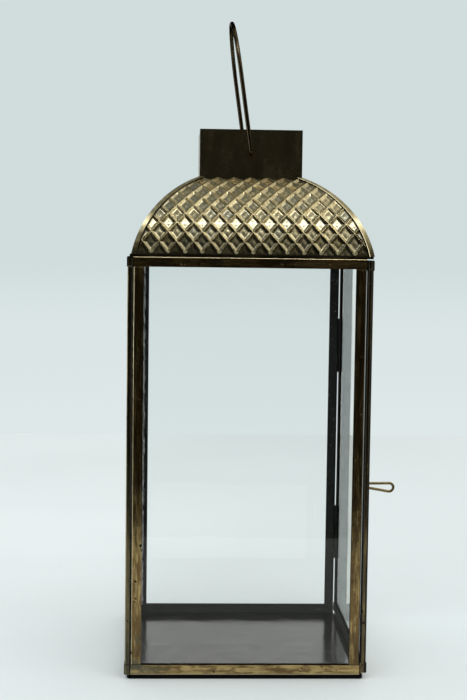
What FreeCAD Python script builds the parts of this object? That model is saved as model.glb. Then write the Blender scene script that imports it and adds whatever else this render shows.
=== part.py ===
"""Square candle lantern in brass and glass, with a hinged door and a wire bail handle.

Millimetres. +Z is up and the front faces -Y. The origin is the centre of the base's resting face.
X = 0 is the middle of the front and back panels; the door closes the +X side.
"""

import FreeCAD, Part
import math
import os

import Sketcher
from FreeCAD import Matrix, Placement, Rotation, Vector

doc = FreeCAD.newDocument("lantern")

# ---------------------------------------------------------------- driving dimensions

DIMENSIONS = [
    # sheet-metal channels and glass
    ("wall", 0.5),
    ("channel_face", 7.5),
    ("stile_thickness", 4.0),
    ("bend_radius", 0.9),
    ("glass_thickness", 2.0),
    ("glass_play", 0.25),
    # panels
    ("frame_width", 171.1),
    ("frame_depth", 176.0),
    ("panel_height", 311.5),
    ("door_gap", 1.1),
    ("door_lift", 1.5),
    ("door_height", 309.1),
    # base
    ("pad_width", 177.0),
    ("pad_depth", 173.4),
    ("pad_thickness", 2.5),
    ("plate_width", 174.6),
    ("plate_depth", 172.0),
    ("plate_thickness", 1.0),
    ("base_corner", 3.0),
    ("seam_leg", 4.5),
    # roof
    ("top_centre_x", 1.7),
    ("eave_half_width", 89.4),
    ("eave_half_depth", 88.5),
    ("eave_opening_half", 76.0),
    ("eave_thickness", 1.8),
    ("roof_half", 88.8),
    ("roof_sheet", 0.6),
    ("roof_bow", 81.4),
    ("roof_bow_drop", 16.5),
    ("mitre_gap", 0.1),
    ("hip_strip_width", 3.2),
    ("hip_strip_thickness", 0.4),
    # chimney and its eyelets
    ("chimney_half", 39.2),
    ("chimney_sheet", 0.8),
    ("chimney_sink", 3.5),
    ("chimney_height", 39.8),
    ("pivot_above_roof", 17.9),
    ("eyelet_flange_radius", 3.3),
    ("eyelet_barrel_radius", 2.3),
    ("eyelet_flange", 0.6),
    # bail handle
    ("bail_wire_radius", 1.6),
    ("bail_play", 0.08),
    ("bail_half", 43.4),
    ("bail_bend", 3.0),
    ("bail_straight", 58.2),
    ("bail_tail", 6.5),
    ("bail_lean", 8.2),
    # hinges
    ("hinge_length", 45.0),
    ("hinge_low", 75.0),
    ("hinge_high", 239.0),
    ("leaf_thickness", 0.35),
    ("knuckle_radius", 1.5),
    ("knuckle_gap", 0.3),
    ("hinge_setback", 2.0),
    ("pin_radius", 0.8),
    ("pin_play", 0.05),
    ("pin_head_radius", 1.3),
    ("pin_head", 0.7),
    # door pull
    ("pull_wire_radius", 1.0),
    ("pull_root_half", 1.65),
    ("pull_bow", 3.1),
    ("pull_reach", 15.25),
    ("pull_above_door", 141.5),
    ("pull_drop", 1.2),
    ("pull_overrun", 0.4),
]

sheet = doc.addObject("Spreadsheet::Sheet", "Dimensions")
for row, (alias, size) in enumerate(DIMENSIONS, start=1):
    sheet.set(f"A{row}", alias)
    sheet.set(f"B{row}", str(size))
    sheet.setAlias(f"B{row}", alias)
doc.recompute()

ALIASES = sorted((alias for alias, _ in DIMENSIONS), key=len, reverse=True)


def bound(expression):
    """The expression with every cell alias written as a reference into the sheet."""
    words = []
    word = ""
    for letter in expression + " ":
        if letter.isalnum() or letter == "_":
            word += letter
            continue
        words.append(f"Dimensions.{word}" if word in ALIASES else word)
        words.append(letter)
        word = ""
    return "".join(words).strip()


def value(expression):
    """The expression's present value, in millimetres or degrees."""
    result = sheet.evalExpression(bound(expression))
    return float(getattr(result, "Value", result))


def bind(target, path, expression):
    """Bind a property of a feature, or a constraint of a sketch, to the sheet."""
    target.setExpression(path, bound(expression))


# ---------------------------------------------------------------- sketch and body helpers

ORIGIN = -1
HORIZONTAL_AXIS = -1
VERTICAL_AXIS = -2
START = 1
END = 2
CENTRE = 3

PARTS = []


def new_body(label):
    """A body that becomes the file parts/label.step."""
    body = doc.addObject("PartDesign::Body", label)
    body.Label = label
    PARTS.append(body)
    return body


def origin_feature(body, role):
    """One of the body's own origin planes or axes, found by its role."""
    return next(item for item in body.Origin.OriginFeatures if item.Role == role)


def new_sketch(body, name, role, offset=None):
    """An empty sketch on one of the body's origin planes, moved along its normal by an expression."""
    sketch = body.newObject("Sketcher::SketchObject", name)
    sketch.AttachmentSupport = [(origin_feature(body, role), "")]
    sketch.MapMode = "FlatFace"
    if offset is not None:
        bind(sketch, "AttachmentOffset.Base.z", offset)
    return sketch


def constrain(sketch, kind, *references, size=None):
    """Add a constraint; a size given as an expression is bound to the sheet."""
    if size is None:
        return sketch.addConstraint(Sketcher.Constraint(kind, *references))
    index = sketch.addConstraint(Sketcher.Constraint(kind, *references, value(size)))
    bind(sketch, f"Constraints[{index}]", size)
    return index


def locate(sketch, geometry, point, x, y):
    """Fix a point of the sketch at the expressions x and y from the sketch's origin."""
    for kind, axis, expression in (("DistanceX", VERTICAL_AXIS, x), ("DistanceY", HORIZONTAL_AXIS, y)):
        place = value(expression)
        if abs(place) < 1e-9:
            constrain(sketch, "PointOnObject", geometry, point, axis)
        elif place > 0:
            constrain(sketch, kind, ORIGIN, 1, geometry, point, size=expression)
        else:
            constrain(sketch, kind, geometry, point, ORIGIN, 1, size=f"-({expression})")


def polygon(sketch, corners):
    """A closed outline through corners, each a pair of expressions."""
    points = [Vector(value(x), value(y), 0) for x, y in corners]
    count = len(points)
    first = sketch.GeometryCount
    for index in range(count):
        sketch.addGeometry(Part.LineSegment(points[index], points[(index + 1) % count]))
    for index in range(count):
        following = first + (index + 1) % count
        constrain(sketch, "Coincident", first + index, END, following, START)
    for index, (x, y) in enumerate(corners):
        locate(sketch, first + index, START, x, y)


def rectangle(sketch, left, bottom, right, top):
    """A rectangle between two opposite corners, given as expressions."""
    polygon(sketch, [(left, bottom), (right, bottom), (right, top), (left, top)])


def circle(sketch, x, y, radius):
    """A circle with its centre and radius given as expressions."""
    centre = Vector(value(x), value(y), 0)
    index = sketch.addGeometry(Part.Circle(centre, Vector(0, 0, 1), value(radius)))
    locate(sketch, index, CENTRE, x, y)
    constrain(sketch, "Radius", index, size=radius)


def add_feature(body, kind, name, sketch, length, **options):
    """A Pad or Pocket of a sketch over a length given as an expression."""
    feature = body.newObject(f"PartDesign::{kind}", name)
    feature.Profile = sketch
    bind(feature, "Length", length)
    for option, setting in options.items():
        setattr(feature, option, setting)
    body.Tip = feature
    doc.recompute()


def cut_feature(body, name, sketch, length, **options):
    """A Pocket that is proved to take material away."""
    doc.recompute()
    before = body.Shape.Volume
    add_feature(body, "Pocket", name, sketch, length, **options)
    if not body.Shape.Volume < before - 1e-3:
        raise RuntimeError(f"{body.Label}: {name} cuts nothing")


def fillet_edges(body, name, radius, chosen):
    """Round the edges of the body's present shape for which chosen(edge) holds."""
    base = body.Tip
    names = [f"Edge{index}" for index, edge in enumerate(base.Shape.Edges, start=1) if chosen(edge)]
    if not names:
        raise RuntimeError(f"{body.Label}: no edge to round")
    feature = body.newObject("PartDesign::Fillet", name)
    feature.Base = (base, names)
    bind(feature, "Radius", radius)
    body.Tip = feature
    doc.recompute()


def along_z(edge):
    """True for a straight edge parallel to Z."""
    if edge.Curve.TypeId != "Part::GeomLine":
        return False
    return abs(edge.tangentAt(edge.FirstParameter).z) > 0.999


# ---------------------------------------------------------------- glazed panels


def channel(label, thickness, length, place):
    """A U-section brass channel: its web lies at local x = 0, it opens towards +x and runs up +z."""
    body = new_body(label)
    outline = new_sketch(body, f"{label}_outline", "XY_Plane")
    rectangle(outline, "0", "0", "channel_face", thickness)
    add_feature(body, "Pad", f"{label}_blank", outline, length)
    slot = new_sketch(body, f"{label}_slot_outline", "XY_Plane")
    rectangle(slot, "wall", "wall", "channel_face + wall", f"{thickness} - wall")
    cut_feature(body, f"{label}_slot", slot, length, Reversed=True)
    fillet_edges(
        body, f"{label}_bends", "bend_radius", lambda edge: along_z(edge) and edge.CenterOfMass.x < 0.1,
    )
    body.Placement = place


def pane(label, width, height, place):
    """A rectangular pane with its lower left corner at the local origin, thick along +y."""
    body = new_body(label)
    outline = new_sketch(body, f"{label}_outline", "XY_Plane")
    rectangle(outline, "0", "0", width, "glass_thickness")
    add_feature(body, "Pad", f"{label}_sheet", outline, height)
    body.Placement = place


def frame_axes(x_axis, z_axis):
    """The rotation that turns local x and z into the two directions given."""
    x_axis = Vector(*x_axis)
    z_axis = Vector(*z_axis)
    y_axis = z_axis.cross(x_axis)
    columns = Matrix(
        x_axis.x, y_axis.x, z_axis.x, 0,
        x_axis.y, y_axis.y, z_axis.y, 0,
        x_axis.z, y_axis.z, z_axis.z, 0,
        0, 0, 0, 1,
    )
    return Placement(columns).Rotation


def glazed_panel(names, width, height, place):
    """Two stiles, two rails slipped over their ends, and a pane.

    Locally the panel spans x = -width/2 to width/2 and z = 0 to height, with the stiles' outer face at
    y = 0 and the glass behind it. place puts the whole panel in the lantern.
    """
    half = value(width) / 2
    tall = value(height)
    wall = value("wall")
    stile = value("stile_thickness")
    rail_thickness = "(stile_thickness + 2 * wall)"

    def put(x, y, z, x_axis, z_axis):
        return place.multiply(Placement(Vector(x, y, z), frame_axes(x_axis, z_axis)))

    stile_length = f"{height} - 2 * wall"
    near_stile, far_stile, bottom_rail, top_rail, glass = names
    channel(near_stile, "stile_thickness", stile_length, put(-half, 0, wall, (1, 0, 0), (0, 0, 1)))
    channel(far_stile, "stile_thickness", stile_length, put(half, stile, wall, (-1, 0, 0), (0, 0, 1)))
    channel(bottom_rail, rail_thickness, width, put(-half, stile + wall, 0, (0, 0, 1), (1, 0, 0)))
    channel(top_rail, rail_thickness, width, put(-half, -wall, tall, (0, 0, -1), (1, 0, 0)))
    glass_left = -half + wall + value("glass_play")
    glass_front = (stile - value("glass_thickness")) / 2
    pane(
        glass,
        f"{width} - 2 * wall - 2 * glass_play",
        f"{height} - 2 * wall - 2 * glass_play",
        put(glass_left, glass_front, wall, (1, 0, 0), (0, 0, 1)),
    )


FLOOR = "(pad_thickness + plate_thickness)"
floor_z = value(FLOOR)
frame_half = value("frame_width") / 2
depth_half = value("frame_depth") / 2
side_outer = frame_half + value("stile_thickness") + value("wall")
door_outer = frame_half + value("door_gap") + value("stile_thickness")
door_z = floor_z + value("door_lift")


def standing(x, y, z, turn):
    """A placement turned about the vertical axis, in degrees."""
    return Placement(Vector(x, y, z), Rotation(Vector(0, 0, 1), turn))


glazed_panel(
    ("front_left_stile", "front_right_stile", "front_bottom_rail", "front_top_rail", "front_glass"),
    "frame_width", "panel_height", standing(0, -depth_half, floor_z, 0),
)
glazed_panel(
    ("back_right_stile", "back_left_stile", "back_bottom_rail", "back_top_rail", "back_glass"),
    "frame_width", "panel_height", standing(0, depth_half, floor_z, 180),
)
glazed_panel(
    ("left_rear_stile", "left_front_stile", "left_bottom_rail", "left_top_rail", "left_glass"),
    "frame_depth", "panel_height", standing(-side_outer, 0, floor_z, -90),
)
glazed_panel(
    ("door_front_stile", "door_rear_stile", "door_bottom_rail", "door_top_rail", "door_glass"),
    "frame_depth", "door_height", standing(door_outer, 0, door_z, 90),
)

# ---------------------------------------------------------------- base


def slab(label, width, depth, thickness, bottom):
    """A flat rectangular sheet with rounded corners, centred on the vertical axis."""
    body = new_body(label)
    outline = new_sketch(body, f"{label}_outline", "XY_Plane")
    rectangle(outline, f"-{width} / 2", f"-{depth} / 2", f"{width} / 2", f"{depth} / 2")
    add_feature(body, "Pad", f"{label}_sheet", outline, thickness)
    fillet_edges(body, f"{label}_corners", "base_corner", along_z)
    body.Placement = Placement(Vector(0, 0, value(bottom)), Rotation())


slab("base_pad", "pad_width", "pad_depth", "pad_thickness", "0")
slab("base_plate", "plate_width", "plate_depth", "plate_thickness", "pad_thickness")

# The two fixed inside corners, behind the front left and beside the back left stiles, are filled with solder.
seams = new_body("corner_solder_seams")
seam_outline = new_sketch(seams, "seam_outline", "XY_Plane")
polygon(seam_outline, [
    ("-(frame_width / 2 + wall)", "frame_depth / 2 - stile_thickness"),
    ("-(frame_width / 2 + wall)", "frame_depth / 2 - stile_thickness - seam_leg"),
    ("-(frame_width / 2 + wall) + seam_leg", "frame_depth / 2 - stile_thickness"),
])
add_feature(seams, "Pad", "seam_fill", seam_outline, "panel_height - 2 * channel_face")
seam_pair = seams.newObject("PartDesign::Mirrored", "seam_pair")
seam_pair.Originals = [seams.Tip]
seam_pair.MirrorPlane = (origin_feature(seams, "XZ_Plane"), [""])
seams.Tip = seam_pair
seams.Placement = Placement(Vector(0, 0, floor_z + value("channel_face")), Rotation())

# ---------------------------------------------------------------- roof

eave_z = floor_z + value("panel_height")
hem_z = eave_z + value("eave_thickness")
top_x = value("top_centre_x")

ring = new_body("eave_ring")
ring_outline = new_sketch(ring, "ring_outline", "XY_Plane")
rectangle(ring_outline, "-eave_half_width", "-eave_half_depth", "eave_half_width", "eave_half_depth")
rectangle(ring_outline, "-eave_opening_half", "-eave_opening_half", "eave_opening_half", "eave_opening_half")
add_feature(ring, "Pad", "ring_sheet", ring_outline, "eave_thickness")
ring.Placement = Placement(Vector(top_x / 2, 0, eave_z), Rotation())

# The roof's outer face is a circular arc that starts at roof_half and ends at the chimney's wall.
BOW_X = "(roof_half - sqrt(roof_bow ^ 2 - roof_bow_drop ^ 2))"


def bow_height(radius, x):
    """Height above the hem of the arc of this radius at the distance x from the roof's axis."""
    return f"(sqrt(({radius}) ^ 2 - (({x}) - {BOW_X}) ^ 2) - roof_bow_drop)"


def bowed_band(sketch, inner, outer):
    """The section between two concentric arcs, from the hem's plane up to the chimney's wall."""
    centre = Vector(value(BOW_X), -value("roof_bow_drop"), 0)
    top_x_limit = "chimney_half"
    ends = []
    for radius in (outer, inner):
        size = value(radius)
        low = math.asin(value("roof_bow_drop") / size)
        high = math.acos((value(top_x_limit) - centre.x) / size)
        arc = Part.ArcOfCircle(Part.Circle(centre, Vector(0, 0, 1), size), low, high)
        index = sketch.addGeometry(arc)
        locate(sketch, index, CENTRE, BOW_X, "-roof_bow_drop")
        constrain(sketch, "Radius", index, size=radius)
        constrain(sketch, "PointOnObject", index, START, HORIZONTAL_AXIS)
        constrain(sketch, "DistanceX", ORIGIN, 1, index, END, size=top_x_limit)
        ends.append((index, arc.StartPoint, arc.EndPoint))
    (outer_arc, outer_low, outer_high), (inner_arc, inner_low, inner_high) = ends
    hem = sketch.addGeometry(Part.LineSegment(outer_low, inner_low))
    crown = sketch.addGeometry(Part.LineSegment(outer_high, inner_high))
    constrain(sketch, "Coincident", hem, START, outer_arc, START)
    constrain(sketch, "Coincident", hem, END, inner_arc, START)
    constrain(sketch, "Coincident", crown, START, outer_arc, END)
    constrain(sketch, "Coincident", crown, END, inner_arc, END)


NEAR = "(chimney_half / 2)"
FAR = "(2 * roof_half)"


def beyond_hips(sketch, gap):
    """The two regions that lie beyond a face's hips, which are its diagonals seen from above."""
    for sign in ("", "-"):
        polygon(sketch, [
            (NEAR, f"{sign}({NEAR} - {gap})"),
            (FAR, f"{sign}({FAR} - {gap})"),
            (NEAR, f"{sign}({FAR} - {gap})"),
        ])


def roof_panel(label, turn):
    """One curved roof sheet, mitred along both hips. Locally it faces +x."""
    body = new_body(label)
    section = new_sketch(body, f"{label}_section", "XZ_Plane")
    bowed_band(section, "roof_bow - roof_sheet", "roof_bow")
    add_feature(body, "Pad", f"{label}_sheet", section, "2 * roof_half", Midplane=True)
    mitres = new_sketch(body, f"{label}_mitre_outline", "XY_Plane")
    beyond_hips(mitres, "mitre_gap")
    cut_feature(body, f"{label}_mitres", mitres, "roof_half", Reversed=True)
    body.Placement = standing(top_x, 0, hem_z, turn)


for roof_label, roof_turn in (
    ("roof_right_panel", 0), ("roof_back_panel", 90), ("roof_left_panel", 180), ("roof_front_panel", 270),
):
    roof_panel(roof_label, roof_turn)

# Each hip is closed by a folded strip: a band over the end of one sheet and a band over its neighbour's.
hips = new_body("roof_hip_seams")
hip_section = new_sketch(hips, "hip_section", "XZ_Plane")
bowed_band(hip_section, "roof_bow", "roof_bow + hip_strip_thickness")
add_feature(hips, "Pad", "hip_band", hip_section, "2 * (roof_half + 1)", Midplane=True)
hip_window = new_sketch(hips, "hip_window", "XY_Plane")
polygon(hip_window, [
    ("hip_strip_width", "0"),
    (FAR, f"{FAR} - hip_strip_width"),
    (FAR, f"hip_strip_width - {FAR}"),
])
beyond_hips(hip_window, "0")
cut_feature(hips, "hip_trim", hip_window, "roof_half", Reversed=True)
hip_pattern = hips.newObject("PartDesign::PolarPattern", "hip_pattern")
hip_pattern.TransformMode = "Whole shape"
hip_pattern.Axis = (origin_feature(hips, "Z_Axis"), [""])
hip_pattern.Angle = 360
hip_pattern.Occurrences = 4
hips.Tip = hip_pattern
hips.Placement = Placement(Vector(top_x, 0, hem_z), Rotation())

# ---------------------------------------------------------------- chimney and eyelets

crown_z = hem_z + value(bow_height("roof_bow", "chimney_half"))
pivot_z = crown_z + value("pivot_above_roof")

chimney = new_body("chimney_box")
chimney_outline = new_sketch(chimney, "chimney_outline", "XY_Plane")
CHIMNEY_INNER = "(chimney_half - chimney_sheet)"
for half_side in ("chimney_half", CHIMNEY_INNER):
    rectangle(chimney_outline, f"-{half_side}", f"-{half_side}", half_side, half_side)
add_feature(chimney, "Pad", "chimney_walls", chimney_outline, "chimney_height")
chimney_holes = new_sketch(chimney, "chimney_hole_outline", "XZ_Plane")
circle(chimney_holes, "0", "chimney_sink + pivot_above_roof", "eyelet_barrel_radius")
cut_feature(chimney, "chimney_holes", chimney_holes, "2 * chimney_half + 2 * wall", Midplane=True)
chimney.Placement = Placement(Vector(top_x, 0, crown_z - value("chimney_sink")), Rotation())

eyelets = new_body("handle_eyelets")
eyelet_section = new_sketch(eyelets, "eyelet_section", "YZ_Plane")
EYELET_BORE = "bail_wire_radius + bail_play"
EYELET_ROLL = "(eyelet_barrel_radius + eyelet_flange)"
polygon(eyelet_section, [
    ("-(chimney_half + eyelet_flange)", EYELET_BORE),
    ("-(chimney_half + eyelet_flange)", "eyelet_flange_radius"),
    ("-chimney_half", "eyelet_flange_radius"),
    ("-chimney_half", "eyelet_barrel_radius"),
    (f"-{CHIMNEY_INNER}", "eyelet_barrel_radius"),
    (f"-{CHIMNEY_INNER}", EYELET_ROLL),
    (f"-({CHIMNEY_INNER} - eyelet_flange)", EYELET_ROLL),
    (f"-({CHIMNEY_INNER} - eyelet_flange)", EYELET_BORE),
])
eyelet_turned = eyelets.newObject("PartDesign::Revolution", "eyelet_turned")
eyelet_turned.Profile = eyelet_section
eyelet_turned.ReferenceAxis = (origin_feature(eyelets, "Y_Axis"), [""])
eyelet_turned.Angle = 360
eyelets.Tip = eyelet_turned
eyelet_pair = eyelets.newObject("PartDesign::Mirrored", "eyelet_pair")
eyelet_pair.Originals = [eyelet_turned]
eyelet_pair.MirrorPlane = (origin_feature(eyelets, "XZ_Plane"), [""])
eyelets.Tip = eyelet_pair
eyelets.Placement = Placement(Vector(top_x, 0, pivot_z), Rotation())

# ---------------------------------------------------------------- bail handle


def line(sketch, start, end):
    """A straight edge between two located points, each a pair of expressions."""
    ends = [Vector(value(x), value(y), 0) for x, y in (start, end)]
    index = sketch.addGeometry(Part.LineSegment(*ends))
    locate(sketch, index, START, *start)
    locate(sketch, index, END, *end)
    return index


def arc_joining(sketch, centre, radius, angles, joins):
    """An arc whose start and end meet the points joins = ((edge, end), (edge, end)).

    It is drawn with this radius between these angles, in degrees and anticlockwise. After that its two
    joins and the height of its centre hold it.
    """
    middle = Vector(value(centre[0]), value(centre[1]), 0)
    low, high = (math.radians(angle) for angle in angles)
    arc = Part.ArcOfCircle(Part.Circle(middle, Vector(0, 0, 1), value(radius)), low, high)
    index = sketch.addGeometry(arc)
    for point, (edge, end) in zip((START, END), joins):
        constrain(sketch, "Coincident", index, point, edge, end)
    constrain(sketch, "DistanceY", ORIGIN, 1, index, CENTRE, size=centre[1])


bail = new_body("bail_handle")
bail_path = new_sketch(bail, "bail_path", "YZ_Plane")
BAIL_SHOULDER = "(bail_bend + bail_straight)"
BAIL_TURN = "(bail_half - bail_bend)"
front_tail = line(bail_path, (f"-({BAIL_TURN} - bail_tail)", "0"), (f"-{BAIL_TURN}", "0"))
front_leg = line(bail_path, ("-bail_half", "bail_bend"), ("-bail_half", BAIL_SHOULDER))
back_leg = line(bail_path, ("bail_half", BAIL_SHOULDER), ("bail_half", "bail_bend"))
back_tail = line(bail_path, (BAIL_TURN, "0"), (f"{BAIL_TURN} - bail_tail", "0"))
for arc_centre, arc_radius, arc_angles, arc_joins in (
    ((f"-{BAIL_TURN}", "bail_bend"), "bail_bend", (180, 270), ((front_leg, START), (front_tail, END))),
    (("0", BAIL_SHOULDER), "bail_half", (0, 180), ((back_leg, START), (front_leg, END))),
    ((BAIL_TURN, "bail_bend"), "bail_bend", (270, 360), ((back_tail, START), (back_leg, END))),
):
    arc_joining(bail_path, arc_centre, arc_radius, arc_angles, arc_joins)
bail_section = new_sketch(bail, "bail_section", "XZ_Plane", offset=f"{BAIL_TURN} - bail_tail")
circle(bail_section, "0", "0", "bail_wire_radius")
bail_wire = bail.newObject("PartDesign::AdditivePipe", "bail_wire")
bail_wire.Profile = bail_section
bail_wire.Spine = (bail_path, [""])
bail.Tip = bail_wire
bail.Placement = Placement(Vector(top_x, 0, pivot_z), Rotation(Vector(0, 1, 0), -value("bail_lean")))

# ---------------------------------------------------------------- door hinges

hinge_x = frame_half + value("door_gap") / 2
hinge_y = depth_half + value("hinge_setback")
KNUCKLE = "((hinge_length - 2 * knuckle_gap) / 3)"


def hinge_leaf(label, side, knuckles, place):
    """A butt hinge's leaf with the knuckles at the places given, 0 to 2 from the bottom.

    Locally the pin runs up +z from the origin and the leaf lies towards -y; side is "-" for the leaf on
    the lantern's frame and "" for the leaf on the door.
    """
    body = new_body(label)
    outer_x = f"{side}(door_gap / 2)"
    inner_x = f"{side}(door_gap / 2 - leaf_thickness)"
    free_y = "-(hinge_setback + stile_thickness)"
    near_y = "-(knuckle_radius + knuckle_gap)"
    plate = new_sketch(body, f"{label}_plate_outline", "XY_Plane")
    rectangle(plate, outer_x, free_y, inner_x, near_y)
    add_feature(body, "Pad", f"{label}_plate", plate, "hinge_length")
    for number in knuckles:
        lift = f"{number} * ({KNUCKLE} + knuckle_gap)"
        tab = new_sketch(body, f"{label}_tab_outline_{number}", "XY_Plane", offset=lift)
        rectangle(tab, outer_x, f"{near_y} - leaf_thickness", inner_x, "-(pin_radius + knuckle_radius) / 2")
        add_feature(body, "Pad", f"{label}_tab_{number}", tab, KNUCKLE)
        barrel = new_sketch(body, f"{label}_barrel_outline_{number}", "XY_Plane", offset=lift)
        circle(barrel, "0", "0", "knuckle_radius")
        add_feature(body, "Pad", f"{label}_barrel_{number}", barrel, KNUCKLE)
    bore = new_sketch(body, f"{label}_bore_outline", "XY_Plane")
    circle(bore, "0", "0", "pin_radius + pin_play")
    cut_feature(body, f"{label}_bore", bore, "hinge_length", Reversed=True)
    body.Placement = place


def hinge_pin(label, place):
    """A hinge pin with a riveted head at each end."""
    body = new_body(label)
    shank = new_sketch(body, f"{label}_shank_outline", "XY_Plane")
    circle(shank, "0", "0", "pin_radius")
    add_feature(body, "Pad", f"{label}_shank", shank, "hinge_length")
    for name, lift in (("foot", "-pin_head"), ("head", "hinge_length")):
        disc = new_sketch(body, f"{label}_{name}_outline", "XY_Plane", offset=lift)
        circle(disc, "0", "0", "pin_head_radius")
        add_feature(body, "Pad", f"{label}_{name}", disc, "pin_head")
    body.Placement = place


for hinge_name, hinge_centre in (("upper", "hinge_high"), ("lower", "hinge_low")):
    hinge_place = Placement(
        Vector(hinge_x, hinge_y, value(hinge_centre) - value("hinge_length") / 2), Rotation(),
    )
    hinge_leaf(f"hinge_{hinge_name}_frame_leaf", "-", (0, 2), hinge_place)
    hinge_leaf(f"hinge_{hinge_name}_door_leaf", "", (1,), hinge_place)
    hinge_pin(f"hinge_{hinge_name}_pin", hinge_place)

# ---------------------------------------------------------------- door pull

pull = new_body("door_pull")
pull_path = new_sketch(pull, "pull_path", "XZ_Plane")
bow = value("pull_bow")
root = Vector(-value("pull_overrun"), value("pull_root_half"), 0)
level_centre = Vector(value("pull_reach"), 0, 0)
reach = (level_centre - root).Length
tangent_angle = math.asin(bow / reach) - math.atan2(root.y, level_centre.x - root.x)
tangent_length = math.sqrt(reach ** 2 - bow ** 2)
meet = root + Vector(math.cos(tangent_angle), math.sin(tangent_angle), 0) * tangent_length
meet_angle = math.atan2(meet.y, meet.x - level_centre.x)
droop = Vector(0, -value("pull_drop"), 0)
bow_circle = Part.Circle(level_centre + droop, Vector(0, 0, 1), bow)
upper_leg = pull_path.addGeometry(Part.LineSegment(root, meet + droop))
pull_tip = pull_path.addGeometry(Part.ArcOfCircle(bow_circle, -meet_angle, meet_angle))
lower_leg = pull_path.addGeometry(
    Part.LineSegment(Vector(meet.x, -meet.y, 0) + droop, Vector(root.x, -root.y, 0)),
)
locate(pull_path, upper_leg, START, "-pull_overrun", "pull_root_half")
locate(pull_path, lower_leg, END, "-pull_overrun", "-pull_root_half")
locate(pull_path, pull_tip, CENTRE, "pull_reach", "-pull_drop")
constrain(pull_path, "Radius", pull_tip, size="pull_bow")
constrain(pull_path, "Tangent", upper_leg, END, pull_tip, END)
constrain(pull_path, "Tangent", pull_tip, START, lower_leg, START)
pull_section = new_sketch(pull, "pull_section", "YZ_Plane", offset="-pull_overrun")
circle(pull_section, "0", "pull_root_half", "pull_wire_radius")
pull_wire = pull.newObject("PartDesign::AdditivePipe", "pull_wire")
pull_wire.Profile = pull_section
pull_wire.Spine = (pull_path, [""])
pull.Tip = pull_wire
pull_face = new_sketch(pull, "pull_face", "YZ_Plane")
PULL_REACH_Z = "(pull_root_half + 2 * pull_wire_radius)"
rectangle(pull_face, "-2 * pull_wire_radius", f"-{PULL_REACH_Z}", "2 * pull_wire_radius", PULL_REACH_Z)
cut_feature(pull, "pull_trim", pull_face, "2 * pull_overrun")
pull.Placement = Placement(
    Vector(
        door_outer,
        -depth_half + value("channel_face") / 2,
        door_z + value("pull_above_door"),
    ),
    Rotation(),
)

# ---------------------------------------------------------------- checks and output

doc.recompute()

for item in doc.Objects:
    if "Invalid" in item.State or "Error" in item.State:
        raise RuntimeError(f"{item.Label} failed: {item.State}")
for part in PARTS:
    if part.Shape.isNull() or not part.Shape.isValid() or not part.Shape.Solids:
        raise RuntimeError(f"{part.Label} has no valid solid")

os.makedirs("parts", exist_ok=True)
for part in PARTS:
    part.Shape.exportStep(f"parts/{part.Label}.step")
    box = part.Shape.BoundBox
    print(
        f"{part.Label}: {len(part.Shape.Solids)} solid(s), {part.Shape.Volume:.1f} mm3, "
        f"x {box.XMin:.2f} to {box.XMax:.2f}, y {box.YMin:.2f} to {box.YMax:.2f}, "
        f"z {box.ZMin:.2f} to {box.ZMax:.2f}"
    )
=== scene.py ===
"""Blender scene of the square brass and glass candle lantern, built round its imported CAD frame."""

import math
import random

import bmesh
import bpy
from mathutils import Matrix, Vector, noise


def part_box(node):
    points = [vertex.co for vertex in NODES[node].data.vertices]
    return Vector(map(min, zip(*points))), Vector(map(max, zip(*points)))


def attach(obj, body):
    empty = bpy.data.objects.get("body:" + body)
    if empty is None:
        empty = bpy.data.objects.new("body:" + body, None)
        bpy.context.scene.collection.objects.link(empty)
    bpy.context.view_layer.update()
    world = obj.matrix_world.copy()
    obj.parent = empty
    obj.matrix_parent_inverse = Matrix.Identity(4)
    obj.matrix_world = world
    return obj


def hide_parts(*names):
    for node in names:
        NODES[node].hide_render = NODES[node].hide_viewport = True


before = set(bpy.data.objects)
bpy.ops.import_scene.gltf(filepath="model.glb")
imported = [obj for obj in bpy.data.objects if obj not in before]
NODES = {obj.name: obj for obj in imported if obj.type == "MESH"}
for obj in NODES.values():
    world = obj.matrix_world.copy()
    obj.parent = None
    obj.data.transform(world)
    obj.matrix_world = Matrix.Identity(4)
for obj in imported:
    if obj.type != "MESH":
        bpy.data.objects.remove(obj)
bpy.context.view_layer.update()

MM = 0.001

# ---------------------------------------------------------------- places on the lantern

SILL_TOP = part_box("front_bottom_rail")[1].z
HEAD_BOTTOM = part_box("front_top_rail")[0].z
# A point on the axis at the height of the top rails' lower edges.
HEART = (0, 0, HEAD_BOTTOM)
roof_low, roof_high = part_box("roof_right_panel")
HEM_Z = roof_low.z
# The dark line at a lapped joint, joint dirt with a painted shadow of the rail's step, fades out over these
# lengths, towards the rail and away from it.
LAP_RAILWARD = 1.0 * MM
LAP_AWAY = 0.7 * MM
# The front edge of the door's stile is left as it is up to the first x and painted dark as painted shade
# from the second.
RIM_UNSHADED = 88.9 * MM
RIM_SHADED = 89.4 * MM
# The largest part of a unit normal on a flat face and on a bend.
FLAT = 0.992
BENT = 0.965
# How much of a bend's unit normal points to a side where it starts to count as facing it,
# and where it fully does.
TURNING = 0.10
TURNED = 0.26

# ---------------------------------------------------------------- material graphs


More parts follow.
